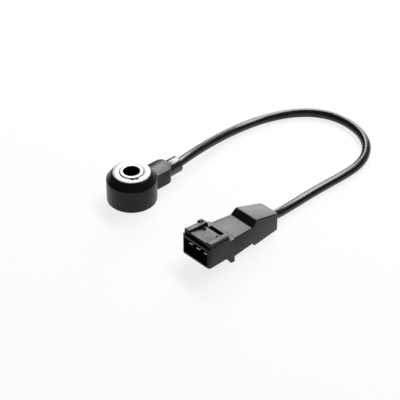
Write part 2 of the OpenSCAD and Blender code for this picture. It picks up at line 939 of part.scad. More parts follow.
// A core from its crimp barrel to the end of the jacket, where three lie in a triangle
module conductor(i, shade) {
    lay = core_d * 0.7;
    end_y = i * lay * cos(30);
    end_z = boot_cable_z + (i == 0 ? lay : -lay / 2);
    mid_z = window_low + core_d / 2 + 7 * fit;
    color(shade)
        place_plug()
            tube(smooth([
                [barrel_x + plate_t + 2 * fit, i * blade_pitch, barrel_z],
                [barrel_x + barrel_l + 1, i * blade_pitch, barrel_z],
                [step_x - 1, i * blade_pitch / 2, mid_z],
                [boot_jacket_x - 1.4, end_y, end_z],
                [boot_jacket_x - fit, end_y, end_z]
            ], 5), core_d, 8);
}

// The ring that takes the cable's pull inside the boot
module cable_crimp() {
    color("goldenrod")
        place_plug()
            translate([boot_crimp_x, 0, boot_cable_z])
                crimp_ring();
}

// The boot's outline seen from the side
function boot_side() =
    rounded([
        [collar_end, flat_z, 0],
        [step_x + 0.4, flat_z, 0.6],
        [hump_x - 1, -foot_drop, 0.9],
        [boot_end, -foot_drop, 1],
        [boot_end, boot_end_h, 0.9],
        [hump_x, hump_h, 0.6],
        [step_x, flat_end_h, 0.8],
        [collar_end, flat_h, 0]
    ]);

// The boot's outline seen from above
function boot_plan() =
    rounded([
        [collar_end, -boot_w / 2, 0],
        [step_x, -boot_mid_w / 2, 0],
        [boot_end, -boot_end_w / 2, 1.4],
        [boot_end, boot_end_w / 2, 1.4],
        [step_x, boot_mid_w / 2, 0],
        [collar_end, boot_w / 2, 0]
    ]);

// The boot moulded over the spigot, the wires and the cable's end
module connector_boot() {
    color([0.11, 0.11, 0.12])
        place_plug()
            difference() {
                intersection() {
                    side_profile(boot_side(), boot_w);
                    translate([0, 0, -foot_drop - 1])
                        linear_extrude(hump_h + foot_drop + 2)
                            polygon(boot_plan());
                }
                spigot_block(fit);
                // Chamber of the wires
                intersection() {
                    side_profile([
                        [collar_end, window_low],
                        [step_x, window_low],
                        [hump_x + 1, boot_cable_z - boot_chamber_r],
                        [boot_bore_x, boot_cable_z - boot_chamber_r],
                        [boot_bore_x, boot_cable_z + boot_chamber_r],
                        [step_x, flat_end_h - 1.5 * boot_wall],
                        [spigot_end, window_high],
                        [collar_end, window_high]
                    ], passage_y);
                    translate([0, 0, -foot_drop])
                        linear_extrude(hump_h + foot_drop)
                            polygon([
                                [collar_end, -passage_y],
                                [spigot_end + 1, -passage_y],
                                [hump_x, -boot_chamber_r],
                                [boot_bore_x, -boot_chamber_r],
                                [boot_bore_x, boot_chamber_r],
                                [hump_x, boot_chamber_r],
                                [spigot_end + 1, passage_y],
                                [collar_end, passage_y]
                            ]);
                }
                // Bore of the cable
                translate([boot_bore_x - over, 0, boot_cable_z])
                    rotate([0, 90, 0])
                        cylinder(r = cable_hole_r, h = boot_end - boot_bore_x + 2 * over);
            }
}

flanged_sleeve();
insulating_tube();
insulator(lower_insulator_z);  // lower_insulator
contact_ring(lower_contact_z, -1);  // lower_contact_ring
piezo_ring();
contact_ring(upper_contact_z, 1);  // upper_contact_ring
insulator(upper_insulator_z);  // upper_insulator
seismic_mass();
disc_spring();
ring_nut();
head_housing();
cable_grommet();
cable_anchor();
signal_core(-1, lower_contact_z + contact_t);  // signal_core_1
signal_core(1, upper_contact_z + contact_t);  // signal_core_2
cable();
connector_housing();
terminal_carrier();
blade_terminal(-1);  // blade_terminal_1
blade_terminal(0);  // blade_terminal_2
blade_terminal(1);  // blade_terminal_3
conductor(-1, "white");  // conductor_1
conductor(0, "dimgray");  // conductor_2
conductor(1, "firebrick");  // conductor_3
cable_crimp();
connector_boot();
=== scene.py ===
import math

import bmesh
import bpy
from mathutils import Matrix, Vector


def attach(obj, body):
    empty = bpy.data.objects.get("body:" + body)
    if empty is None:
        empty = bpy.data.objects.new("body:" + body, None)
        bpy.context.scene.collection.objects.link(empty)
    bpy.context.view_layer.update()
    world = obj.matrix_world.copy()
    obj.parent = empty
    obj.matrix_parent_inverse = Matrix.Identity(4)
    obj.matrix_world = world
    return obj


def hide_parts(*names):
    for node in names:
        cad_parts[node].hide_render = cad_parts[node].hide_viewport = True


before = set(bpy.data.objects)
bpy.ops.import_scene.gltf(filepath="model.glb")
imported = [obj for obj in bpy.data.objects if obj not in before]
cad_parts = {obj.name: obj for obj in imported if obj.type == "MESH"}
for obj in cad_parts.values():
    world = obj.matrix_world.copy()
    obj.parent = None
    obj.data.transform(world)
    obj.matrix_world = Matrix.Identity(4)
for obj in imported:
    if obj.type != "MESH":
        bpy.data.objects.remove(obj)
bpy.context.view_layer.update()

MM = 0.001


# ---- handling objects ----

def lay_down_tools():
    """Leaves edit mode with nothing selected."""
    if bpy.context.mode != "OBJECT":
        bpy.ops.object.mode_set(mode="OBJECT")
    bpy.ops.object.select_all(action="DESELECT")


def take(obj):
    """Selects one object alone."""
    lay_down_tools()
    obj.select_set(True)
    bpy.context.view_layer.objects.active = obj


def settle(obj):
    """Puts the object's place into its mesh."""
    take(obj)
    bpy.ops.object.transform_apply(location=True, rotation=True, scale=True)
    return obj


def fresh(name):
    """Names the primitive that was just added."""
    obj = bpy.context.object
    obj.name = name
    obj.data.name = name
    return settle(obj)


def pick(obj, kind, test):
    """Selects the vertices, edges or faces whose middle, in millimetres, passes the test."""
    take(obj)
    bpy.ops.object.mode_set(mode="EDIT")
    bpy.ops.mesh.select_mode(type=kind)
    bpy.ops.mesh.select_all(action="DESELECT")
    mesh = bmesh.from_edit_mesh(obj.data)
    items = {"VERT": mesh.verts, "EDGE": mesh.edges, "FACE": mesh.faces}[kind]
    for item in items:
        if kind == "VERT":
            spot = item.co / MM
            item.select_set(bool(test(spot)))
        elif kind == "EDGE":
            a, b = (v.co / MM for v in item.verts)
            item.select_set(bool(test((a + b) / 2, (b - a).normalized())))
        else:
            item.select_set(bool(test(item.calc_center_median() / MM, item.normal)))
    mesh.select_flush_mode()
    bmesh.update_edit_mesh(obj.data)


def slide(x=0, y=0, z=0):
    """Moves what is selected, in millimetres."""
    bpy.ops.transform.translate(value=(x * MM, y * MM, z * MM))


def near(a, b, room=0.02):
    return abs(a - b) < room


UPRIGHT = 0.9  # an edge runs along an axis when it points this far along it


# ---- shaping ----

def block(name, low, high):
    """A box between two corners."""
    size = [(b - a) * MM for a, b in zip(low, high)]
    middle = [(a + b) / 2 * MM for a, b in zip(low, high)]
    lay_down_tools()
    bpy.ops.mesh.primitive_cube_add(size=1, location=middle, scale=size)
    return fresh(name)


def rod(name, radius, start, length, along="Z", sides=64):
    """A round bar from its start along +X or +Z."""
    lay_down_tools()
    way = Vector((1, 0, 0)) if along == "X" else Vector((0, 0, 1))
    middle = (Vector(start) + way * length / 2) * MM
    turn = (0, math.pi / 2, 0) if along == "X" else (0, 0, 0)
    bpy.ops.mesh.primitive_cylinder_add(
        vertices=sides, radius=radius * MM, depth=length * MM, location=middle, rotation=turn)
    return fresh(name)


def lathe(name, rings, sides=128, solid=False):
    """Extrudes a circle from ring to ring, each given as (radius, height)."""
    lay_down_tools()
    radius, height = rings[0]
    bpy.ops.mesh.primitive_circle_add(
        vertices=sides, radius=radius * MM, location=(0, 0, height * MM),
        fill_type="NGON" if solid else "NOTHING")
    obj = fresh(name)
    bpy.ops.object.mode_set(mode="EDIT")
    bpy.ops.mesh.select_all(action="SELECT")
    for wide, high in rings[1:] + ([] if solid else rings[:1]):
        bpy.ops.mesh.extrude_region_move(
            TRANSFORM_OT_translate={"value": (0, 0, (high - height) * MM)})
        bpy.ops.transform.resize(
            value=(wide / radius, wide / radius, 1), center_override=(0, 0, high * MM))
        radius, height = wide, high
    bpy.ops.mesh.select_all(action="SELECT")
    bpy.ops.mesh.remove_doubles(threshold=1e-6)
    bpy.ops.mesh.normals_make_consistent(inside=False)
    lay_down_tools()
    return obj


def chop(obj, spot, normal, clear=None):
    """Bisects everything at a plane, and can clear one side of it."""
    take(obj)
    bpy.ops.object.mode_set(mode="EDIT")
    bpy.ops.mesh.select_all(action="SELECT")
    bpy.ops.mesh.bisect(
        plane_co=[v * MM for v in spot], plane_no=normal, use_fill=clear is not None,
        clear_inner=clear == "inner", clear_outer=clear == "outer")
    lay_down_tools()


def combine(obj, other, operation):
    """Joins, cuts or intersects with another piece, which is used up."""
    take(obj)
    step = obj.modifiers.new(operation, "BOOLEAN")
    step.operation = operation
    step.solver = "EXACT"
    step.object = other
    bpy.ops.object.modifier_apply(modifier=step.name)
    bpy.data.objects.remove(other, do_unlink=True)
    return obj


def weld(obj, *others):
    for other in others:
        combine(obj, other, "UNION")
    return obj


def cut(obj, *others):
    for other in others:
        combine(obj, other, "DIFFERENCE")
    return obj


def ease(obj, width, segments=3, angle=35):
    """Rounds every edge that is sharper than the angle."""
    take(obj)
    step = obj.modifiers.new("ease", "BEVEL")
    step.width = width * MM
    step.segments = segments
    step.limit_method = "ANGLE"
    step.angle_limit = math.radians(angle)
    step.harden_normals = False
    bpy.ops.object.modifier_apply(modifier=step.name)
    return obj


def smooth(obj, angle=35):
    take(obj)
    bpy.ops.object.shade_smooth_by_angle(angle=math.radians(angle))
    return obj


def lay_along_x(obj, height):
    """Turns a lathed piece from +Z onto +X, at that height."""
    obj.rotation_euler = (0, math.pi / 2, 0)
    obj.location = (0, 0, height * MM)
    return settle(obj)


PLUG_SPOT = Vector((-14.5, -65, 5.1)) * MM
PLUG_TURN = Matrix.Rotation(math.radians(1), 4, "Z")


def to_plug(obj):
    """Moves a piece that was drawn with the mouth at the origin to the connector's place."""
    obj.matrix_world = Matrix.Translation(PLUG_SPOT) @ PLUG_TURN
    return settle(obj)


def plug_point(x, y, z):
    return PLUG_SPOT + PLUG_TURN @ (Vector((x, y, z)) * MM)


# ---- camera ----

AZIMUTH, ELEVATION, DISTANCE = math.radians(-42.6), math.radians(37.3), 0.9
FRAME_PIXELS, FOCAL_PIXELS = 400, 1714.5
ORIGIN_PIXELS = (132.2, 198.6)  # where the frame's origin is seen
SENSOR_WIDTH = 36
back = Vector((math.sin(AZIMUTH) * math.cos(ELEVATION),
               -math.cos(AZIMUTH) * math.cos(ELEVATION),
               math.sin(ELEVATION)))
right = Vector((math.cos(AZIMUTH), math.sin(AZIMUTH), 0))
up = back.cross(right)
aside, above = ((seen_at - FRAME_PIXELS / 2) / FOCAL_PIXELS for seen_at in ORIGIN_PIXELS)

lens = bpy.data.cameras.new("camera")
lens.sensor_width = SENSOR_WIDTH
lens.lens = FOCAL_PIXELS * SENSOR_WIDTH / FRAME_PIXELS
lens.clip_start = 0.01
lens.clip_end = 20
camera = bpy.data.objects.new("camera", lens)
bpy.context.scene.collection.objects.link(camera)
turned = Matrix((right, up, back)).transposed().to_4x4()
camera.matrix_world = Matrix.Translation(
    DISTANCE * (back - aside * right + above * up)) @ turned
bpy.context.scene.camera = camera


# ---- the lead ----

LEAD_WIDTH = 4.95
NECK_AXIS = 6.9
LOW = 2.5  # the lead's middle where it lies on the floor
route = [
    (18, 0, NECK_AXIS), (32.2, 0, NECK_AXIS), (39, 0.8, 6.8), (49, 2.5, 6.1), (59.5, 4.1, 5.1),
    (69.5, 5.2, 4.1), (79, 5.7, 3.2), (88, 5.3, 2.7), (96, 4.1, LOW), (103, 2.1, LOW),
    (110, -0.7, LOW), (117, -4.7, LOW), (124.5, -11.5, LOW), (129.5, -20.7, LOW),
    (131, -31.5, LOW), (129, -42.5, LOW), (123.5, -52, LOW), (115, -58.8, LOW),
    (105, -62.2, LOW), (94, -62.9, LOW), (82, -62.7, LOW), (70, -62.6, LOW),
    (58, -62.9, LOW), (47, -63.5, 3)]
BOOT_BACK, BOOT_AXIS, JACKET_END = 52.5, -1, 42.7
route = [Vector(p) * MM for p in route] + [
    plug_point(BOOT_BACK, 0, BOOT_AXIS), plug_point(JACKET_END, 0, BOOT_AXIS)]


def along_route(points, steps):
    """The curve that the cable's solid follows too: straight ends, and smooth between."""
    last = len(points) - 1
    line = [points[0]]
    for i in range(1, last - 1):
        b, c = points[i], points[i + 1]
        if i == 1:
            leave = (b - points[0]).normalized() * (c - b).length
        else:
            leave = (c - points[i - 1]) / 2
        if i + 2 == last:
            reach = (points[last] - c).normalized() * (c - b).length
        else:
            reach = (points[i + 2] - b) / 2
        for k in range(steps):
            t = k / steps
            line.append(b * (2 * t**3 - 3 * t * t + 1) + leave * (t**3 - 2 * t * t + t)
                        + c * (3 * t * t - 2 * t**3) + reach * (t**3 - t * t))
    return line + [points[-2], points[-1]]


lead_line = along_route(route, 6)
lead_curve = bpy.data.curves.new("lead", "CURVE")
lead_curve.dimensions = "3D"
strand = lead_curve.splines.new("POLY")
strand.points.add(len(lead_line) - 1)
for point, spot in zip(strand.points, lead_line):
    point.co = (*spot, 1)
strand.use_smooth = True
lead_curve.bevel_depth = LEAD_WIDTH / 2 * MM
lead_curve.bevel_resolution = 10
lead_curve.use_fill_caps = True
lead = bpy.data.objects.new("lead", lead_curve)
bpy.context.scene.collection.objects.link(lead)
lead_length = sum((b - a).length for a, b in zip(lead_line, lead_line[1:]))


# ---- finishes ----

class Value:
    """A shader socket that can be used in sums."""

    def __init__(self, sheet, socket):
        self.sheet = sheet
        self.socket = socket

    def sum(self, operation, *others):
        return self.sheet.node("ShaderNodeMath", {"operation": operation}, self, *others)[0]

    def __add__(self, other):
        return self.sum("ADD", other)

    def __mul__(self, other):
        return self.sum("MULTIPLY", other)

    def __pow__(self, other):
        return self.sum("POWER", other)

    __radd__ = __add__
    __rmul__ = __mul__

    def band(self, low, high):
        """0 below low, 1 above high, and smooth between."""
        made = self.sheet.node(
            "ShaderNodeMapRange", {"interpolation_type": "SMOOTHSTEP"},
            **{"Value": self, "From Min": low, "From Max": high})
        return made[0]


COLOUR_INPUTS, COLOUR_OUTPUT = (6, 7), 2  # where a Mix node has its colour sockets


class Finish:
    """One material, built on a Principled shader."""

    def __init__(self, name, **sockets):
        self.material = bpy.data.materials.new(name)
        self.material.use_nodes = True
        self.tree = self.material.node_tree
        self.skin = self.tree.nodes["Principled BSDF"]
        for socket, value in sockets.items():
            self.skin.inputs[socket.replace("_", " ")].default_value = value
        self.place = self.node("ShaderNodeTexCoord")["Object"]

    def node(self, kind, settings=None, *values, **named):
        made = self.tree.nodes.new(kind)
        for key, value in (settings or {}).items():
            setattr(made, key, value)
        slots = list(zip(made.inputs, values))
        slots += [(made.inputs[key], value) for key, value in named.items()]
        for socket, value in slots:
            self.feed(socket, value)
        return Outputs(self, made)

    def feed(self, socket, value):
        if isinstance(value, Value):
            self.tree.links.new(value.socket, socket)
        else:
            socket.default_value = value

    def give(self, socket, value):
        self.feed(self.skin.inputs[socket], value)

    def grain(self, scale, detail=2.0, stretch=(1, 1, 1), roughness=0.5):
        """Noise with its size in millimetres."""
        spot = self.place
        if stretch != (1, 1, 1):
            spot = self.node("ShaderNodeMapping", None, spot, Scale=stretch)["Vector"]
        made = self.node(
            "ShaderNodeTexNoise", None, Vector=spot, Scale=1 / (scale * MM), Detail=detail,
            Roughness=roughness)
        return made[0]

    def blend(self, factor, *colours):
        """Goes from the first colour to the second, where each is a value or (r, g, b)."""
        made = self.node("ShaderNodeMix", {"data_type": "RGBA"})
        self.feed(made.node.inputs["Factor"], factor)
        for slot, colour in zip(COLOUR_INPUTS, colours):
            self.feed(made.node.inputs[slot], (*colour, 1) if isinstance(colour, tuple) else colour)
        return Value(self, made.node.outputs[COLOUR_OUTPUT])

    def relief(self, height, depth):
        """A bump whose depth is in millimetres."""
        made = self.node(
            "ShaderNodeBump", None, Height=height, Distance=depth * MM, Strength=1.0)
        self.give("Normal", made[0])


class Outputs:
    """A node's outputs, by name or number."""

    def __init__(self, sheet, node):
        self.sheet = sheet
        self.node = node

    def __getitem__(self, key):
        return Value(self.sheet, self.node.outputs[key])


def moulded_black(name, tone, gloss, texture, depth):
    """Glass-filled moulding compound: faint flow streaks, a spark-eroded texture, dull patches."""
    f = Finish(name, IOR=1.5, Specular_IOR_Level=0.24)
    flow = f.grain(6, 4, stretch=(1, 0.35, 0.6), roughness=0.6)
    cloud = f.grain(2.2, 3)
    fine = f.grain(texture, 2)
    f.give("Base Color", f.blend(
        (flow * 0.7 + cloud * 0.3).band(0.35, 0.7),
        tuple(tone * c for c in (0.92, 0.92, 1)), tuple(tone * c for c in (1.5, 1.5, 1.55))))
    f.give("Roughness", cloud * 0.1 + fine * 0.08 + (gloss - 0.09))
    f.relief(fine * 0.8 + flow * 0.2, depth)
    return f.material


# near-black colour inside the bore: painted shade in the hole
BORE_PAINTED_SHADE = (0.02, 0.02, 0.021)
CHAMFER_RADIUS = 4.5  # where the bore's chamfer meets the sleeve's end faces


def lathed_steel(name, tone, gloss, pitch, depth):
    """Plated steel with the fine rings of the turning tool, and painted shade inside the bore."""
    f = Finish(name, Metallic=1.0, IOR=2.5)
    parts = f.node("ShaderNodeSeparateXYZ", None, f.place)
    radius = (parts["X"] * parts["X"] + parts["Y"] * parts["Y"]) ** 0.5
    ring = f.node("ShaderNodeCombineXYZ", None, radius, parts["Z"])["Vector"]
    lines = f.node("ShaderNodeTexNoise", None, Vector=ring, Scale=1 / (pitch * MM), Detail=3.0)[0]
    stain = f.grain(3.5, 4)
    plate = f.blend(stain.band(0.4, 0.75), tone, tuple(c * 0.86 for c in tone))
    # Within the chamfer's radius the plate turns near black: painted shade inside the bore.
    f.give("Base Color", f.blend(
        radius.band(CHAMFER_RADIUS * MM, (CHAMFER_RADIUS + 0.1) * MM), BORE_PAINTED_SHADE, plate))
    f.give("Roughness", lines * 0.12 + stain * 0.1 + (gloss - 0.11))
    f.relief(lines, depth)
    return f.material


def stamped_metal(name, tone, gloss):
    """Sheet metal with faint rolling lines and handling marks."""
    f = Finish(name, Metallic=1.0)
    lines = f.grain(0.25, 2, stretch=(0.08, 1, 1))
    stain = f.grain(1.6, 3)
    f.give("Base Color", f.blend(
        stain.band(0.4, 0.8), tone, tuple(c * 0.8 for c in tone)))
    f.give("Roughness", lines * 0.12 + stain * 0.12 + (gloss - 0.12))
    f.relief(lines, 0.01)
    return f.material


def plain_moulding(name, tone, gloss, speck):
    """Insulators, wire insulation and fired ceramic: an even colour with fine specks."""
    f = Finish(name)
    fine = f.grain(speck, 3)
    cloud = f.grain(2.5, 2)
    f.give("Base Color", f.blend(
        (fine * 0.6 + cloud * 0.4).band(0.35, 0.7), tone, tuple(c * 0.82 for c in tone)))
    f.give("Roughness", fine * 0.15 + (gloss - 0.07))
    f.relief(fine, 0.01)
    return f.material


def soft_rubber(name, tone):
    """Smooth rubber with a faint pale bloom."""
    f = Finish(name, Specular_IOR_Level=0.7)
    fine = f.grain(0.12, 2)
    bloom = f.grain(3, 4)
    f.give("Base Color", f.blend(
        bloom.band(0.45, 0.75), (tone, tone, tone), (tone * 1.9, tone * 1.9, tone * 1.85)))
    f.give("Roughness", bloom * 0.08 + fine * 0.04 + 0.15)
    f.relief(fine, 0.006)
    return f.material


def extruded_jacket(name, tone):
    """Smooth extruded jacket, with a slow waviness left by the cores under it."""
    f = Finish(name, IOR=1.5, Specular_IOR_Level=0.4)
    wave = f.grain(5, 2)
    fine = f.grain(0.3, 2)
    f.give("Base Color", f.blend(
        wave.band(0.4, 0.7), (tone, tone, tone * 1.05), (tone * 1.5, tone * 1.5, tone * 1.55)))
    f.give("Roughness", wave * 0.08 + fine * 0.04 + 0.15)
    f.relief(wave * 0.9 + fine * 0.1, 0.01)
    return f.material


BODY = moulded_black("body compound", 0.006, 0.3, 0.16, 0.012)
SHELL = moulded_black("connector compound", 0.006, 0.3, 0.13, 0.01)
BOOT = moulded_black("boot compound", 0.006, 0.3, 0.15, 0.012)
CARRIER = moulded_black("carrier compound", 0.03, 0.42, 0.13, 0.014)
RUBBER = soft_rubber("grommet rubber", 0.02)
JACKET = extruded_jacket("cable jacket", 0.009)
SLEEVE = lathed_steel("plated sleeve", (0.34, 0.34, 0.337), 0.46, 0.12, 0.006)
NUT = lathed_steel("plated ring nut", (0.38, 0.38, 0.377), 0.5, 0.16, 0.006)

FILM, BRASS, CRIMP = (0.72, 0.6, 0.36), (0.77, 0.6, 0.3), (0.72, 0.56, 0.28)
WHITE, RED, GREY = (0.78, 0.78, 0.75), (0.5, 0.03, 0.025), (0.22, 0.22, 0.23)
TIN = (0.8, 0.79, 0.75)

CARRIED = {
    "insulating_tube": plain_moulding("tube moulding", (0.8, 0.78, 0.7), 0.45, 0.3),
    "lower_insulator": plain_moulding("lower film", FILM, 0.3, 0.5),
    "upper_insulator": plain_moulding("upper film", FILM, 0.3, 0.5),
    "lower_contact_ring": stamped_metal("lower contact brass", BRASS, 0.3),
    "upper_contact_ring": stamped_metal("upper contact brass", BRASS, 0.3),
    "piezo_ring": plain_moulding("fired ceramic", (0.62, 0.56, 0.42), 0.4, 0.2),
    "seismic_mass": lathed_steel("mass steel", (0.5, 0.5, 0.5), 0.34, 0.3, 0.012),
    "disc_spring": stamped_metal("spring steel", (0.3, 0.31, 0.35), 0.42),
    "cable_anchor": stamped_metal("anchor brass", CRIMP, 0.32),
    "cable_crimp": stamped_metal("crimp brass", CRIMP, 0.32),
    "signal_core_1": plain_moulding("white insulation", WHITE, 0.38, 0.3),
    "signal_core_2": plain_moulding("red insulation", RED, 0.38, 0.3),
    "conductor_1": plain_moulding("white core", WHITE, 0.38, 0.3),
    "conductor_2": plain_moulding("grey core", GREY, 0.38, 0.3),
    "conductor_3": plain_moulding("red core", RED, 0.38, 0.3),
    "terminal_carrier": CARRIER,
    "blade_terminal_1": stamped_metal("tinned blade 1", TIN, 0.26),
    "blade_terminal_2": stamped_metal("tinned blade 2", TIN, 0.26),
    "blade_terminal_3": stamped_metal("tinned blade 3", TIN, 0.26),
}
for node, material in CARRIED.items():
    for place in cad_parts[node].material_slots:
        place.material = material


def dress(obj, material, node):
    """Gives a new piece its finish, and puts it in its solid's place."""
    obj.data.materials.clear()
    obj.data.materials.append(material)
    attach(obj, "root")
    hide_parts(node)


# ---- the head ----

BORE, SLEEVE_RADIUS, SLEEVE_TOP = 4.2, 6.5, 18
FLANGE_RADIUS, FLANGE_TOP = 11, 2.2
NUT_BORE, NUT_RADIUS, NUT_SEAT, NUT_FACE = 6.6, 9.8, 13.2, 17.6
NOTCH_ANGLE, NOTCH_RADIUS = math.radians(-119), 2.5
BODY_RADIUS, NECK_END = 13.35, 24.6


def bolt_sleeve():
    sleeve = lathe("bolt_sleeve", [
        (CHAMFER_RADIUS, 0), (FLANGE_RADIUS, 0), (FLANGE_RADIUS, FLANGE_TOP),
        (SLEEVE_RADIUS, FLANGE_TOP), (SLEEVE_RADIUS, NUT_FACE), (6.1, SLEEVE_TOP),
        (CHAMFER_RADIUS, SLEEVE_TOP), (BORE, 17.7), (BORE, 0.3)])
    ease(sleeve, 0.1, 2, 30)
    return smooth(sleeve)


def face_nut():
    """The ring round the sleeve, with its round locking notch, whose floor slopes outwards."""
    nut = lathe("face_nut", [
        (NUT_BORE, NUT_SEAT), (NUT_RADIUS, NUT_SEAT), (NUT_RADIUS, NUT_FACE),
        (NUT_BORE, NUT_FACE)])
    out = Vector((math.cos(NOTCH_ANGLE), math.sin(NOTCH_ANGLE), 0))
    reach = SLEEVE_RADIUS - NOTCH_RADIUS / 3
    notch = rod("notch", NOTCH_RADIUS, out * reach + Vector((0, 0, 15.7)), 3)
    chop(notch, out * NUT_BORE + Vector((0, 0, 16.6)), Vector((0, 0, 1.6)) - out, clear="inner")
    cut(nut, notch)
    ease(nut, 0.15, 2, 50)
    return smooth(nut)


def cable_neck():
    """A tongue with round outer corners, round lower edges and a slightly arched top."""
    bottom = 0.9
    neck = block("neck", (2, -5.5, bottom), (NECK_END, 5.5, 12.6))
    pick(neck, "EDGE", lambda at, d: near(at.x, NECK_END) and abs(d.z) > UPRIGHT)
    bpy.ops.mesh.bevel(offset=3.6 * MM, segments=12)
    pick(neck, "EDGE", lambda at, d: near(at.z, bottom) and at.x > 2.1)
    bpy.ops.mesh.bevel(offset=2.2 * MM, segments=8)
    combine(neck, rod("arch", 16, (1, 0, -3.8), 25, "X", 256), "INTERSECT")
    return ease(neck, 0.3, 3, 40)


def sensor_body():
    """The round body with its cone and neck, and the hollow that holds the stack."""
    body = lathe("sensor_body", [
        (12.7, 0.2), (BODY_RADIUS, 0.85), (BODY_RADIUS, 13.4), (10.3, 17.2)], solid=True)
    ease(body, 0.3, 4, 20)
    neck = cable_neck()
    web_end, web_half, hollow_radius, hollow_out = 13.97, 6.94, 3, 8.45
    webs = block("webs", (8, -web_half, 3.2), (web_end, web_half, 10.75))
    for side in (1, -1):
        cut(webs, rod("hollow", hollow_radius, (web_end, side * hollow_out, 0), 12))
    weld(body, webs, neck)
    seat = lathe("seat", [
        (11.1, -1), (11.1, FLANGE_TOP), (10.15, FLANGE_TOP), (10.15, NUT_SEAT),
        (9.9, NUT_SEAT), (9.9, SLEEVE_TOP)], solid=True)
    room = block("room", (9, -3.7, 2.5), (21.1, 3.7, 11))
    tail = rod("tail", 3.2, (20.6, 0, NECK_AXIS), 5, "X")
    shoulder = rod("shoulder", 4.6, (23.1, 0, NECK_AXIS), 3, "X")
    cut(body, seat, room, tail, shoulder)
    return smooth(body)


def grommet():
    """The rubber sleeve, with the bead that keeps it behind the neck's end wall."""
    hole, bead, waist, sleeve = 2.6, 3.6, 3.1, 4.5
    piece = lathe("grommet", [
        (hole, 19.9), (bead, 19.9), (bead, 21.1), (waist, 21.1), (waist, 23.1), (sleeve, 23.1),
        (sleeve, 31.8), (4.1, 32.2), (hole, 32.2)], 96)
    lay_along_x(piece, NECK_AXIS)
    ease(piece, 0.16, 3, 30)
    return smooth(piece)


# ---- the connector ----

SOCKET_HALF, SOCKET_BACK, SOCKET_TOP = 9.9, 14.6, 11.7
MOUTH_MIDDLE, MOUTH_HEIGHT, MOUTH_DEPTH = 5.85, 9.1, 11.6
ROOF = 10.7  # the rails, the ramp and the lug start below the socket's top
RAIL_FRONT, RAIL_BACK, RAIL_TOP = 1.2, 14.4, 14.5
RAMP_BACK, RAMP_TOP, RAMP_HALF = 12.5, 13.8, 6
COLLAR_FRONT, COLLAR_BACK, COLLAR_HALF, COLLAR_TOP = 16.7, 18.4, 9.4, 9.9
FOOT_FRONT, FOOT_SHOULDER, FOOT_BOTTOM = 12.4, -1.53, -5.1
SPIGOT_HALF, SPIGOT_LOW, SPIGOT_HIGH = 7.15, 1.8, 8.2
PASSAGE_HALF, PASSAGE_LOW, PASSAGE_HIGH = 6.35, 2.6, 7.4


def socket_body():
    """The socket with its mouth sunk in, and its upright front edges rounded."""
    shell = block("plug_shell", (0, -SOCKET_HALF, 0), (SOCKET_BACK, SOCKET_HALF, SOCKET_TOP))
    pick(shell, "EDGE", lambda at, d: near(at.x, 0) and abs(d.z) > UPRIGHT)
    bpy.ops.mesh.bevel(offset=1.7 * MM, segments=6)
    pick(shell, "FACE", lambda at, n: n.x < -0.99)
    rim = 0.2
    bpy.ops.mesh.inset(thickness=rim * MM)
    bpy.ops.transform.resize(
        value=(1, 1, MOUTH_HEIGHT / 11.3), center_override=(0, 0, MOUTH_MIDDLE * MM))
    bpy.ops.mesh.extrude_region_move(
        TRANSFORM_OT_translate={"value": (MOUTH_DEPTH * MM, 0, 0)})
    lay_down_tools()
    return ease(shell, 0.22, 3, 40)


def guide_rail(side):
    """A rail that falls towards the back, with its front top edge rounded."""
    inner, outer = 6.1, 9.3
    rail = block("rail", (RAIL_FRONT, inner, ROOF), (RAIL_BACK, outer, RAIL_TOP))
    if side < 0:
        pick(rail, "VERT", lambda at: True)
        slide(y=-(inner + outer))
    pick(rail, "VERT", lambda at: near(at.x, RAIL_BACK) and near(at.z, RAIL_TOP))
    slide(z=-1.4)
    pick(rail, "EDGE", lambda at, d: (
        near(at.x, RAIL_FRONT) and near(at.z, RAIL_TOP) and abs(d.y) > UPRIGHT))
    bpy.ops.mesh.bevel(offset=0.5 * MM, segments=3)
    return ease(rail, 0.3, 3, 40)


def latch_ramp():
    """The sloping plate between the rails, with two small nubs at its low end."""
    ramp = block("ramp", (1.5, -RAMP_HALF, ROOF), (RAMP_BACK, RAMP_HALF, RAMP_TOP))
    pick(ramp, "VERT", lambda at: near(at.x, RAMP_BACK) and near(at.z, RAMP_TOP))
    slide(z=-2.4)
    ease(ramp, 0.22, 3, 40)
    for side in (-1, 1):
        nub = rod("nub", 0.6, (10.7, side * 4.5, 11.2), 1.6, sides=24)
        weld(ramp, ease(nub, 0.2, 3, 50))
    return ramp


def side_lug():
    """The small ear outside the far rail."""
    top = 14
    lug = block("lug", (10.4, 8.5, ROOF), (13.8, SOCKET_HALF, top))
    pick(lug, "EDGE", lambda at, d: near(at.z, top) and abs(d.y) > UPRIGHT)
    bpy.ops.mesh.bevel(offset=0.9 * MM, segments=4)
    return ease(lug, 0.2, 2, 40)


def collar_and_foot():
    """The collar that the boot meets, on a foot whose front slopes back as it goes down."""
    collar = block(
        "collar", (COLLAR_FRONT, -COLLAR_HALF, 0), (COLLAR_BACK, COLLAR_HALF, COLLAR_TOP))
    ease(collar, 0.3, 3, 40)
    foot = block(
        "foot", (FOOT_FRONT, -COLLAR_HALF, FOOT_BOTTOM), (COLLAR_BACK, COLLAR_HALF, 0.6))
    chop(foot, (0, 0, FOOT_SHOULDER), (0, 0, 1))
    toe = 3.47
    for height, set_back in ((FOOT_SHOULDER, 1.4), (FOOT_BOTTOM, toe)):
        pick(foot, "VERT", lambda at: near(at.x, FOOT_FRONT) and near(at.z, height))
        slide(x=set_back)
    pick(foot, "EDGE", lambda at, d: (
        near(at.z, FOOT_BOTTOM) and near(at.x, FOOT_FRONT + toe) and abs(d.y) > UPRIGHT))
    bpy.ops.mesh.bevel(offset=0.8 * MM, segments=4)
    return weld(collar, ease(foot, 0.25, 3, 40))


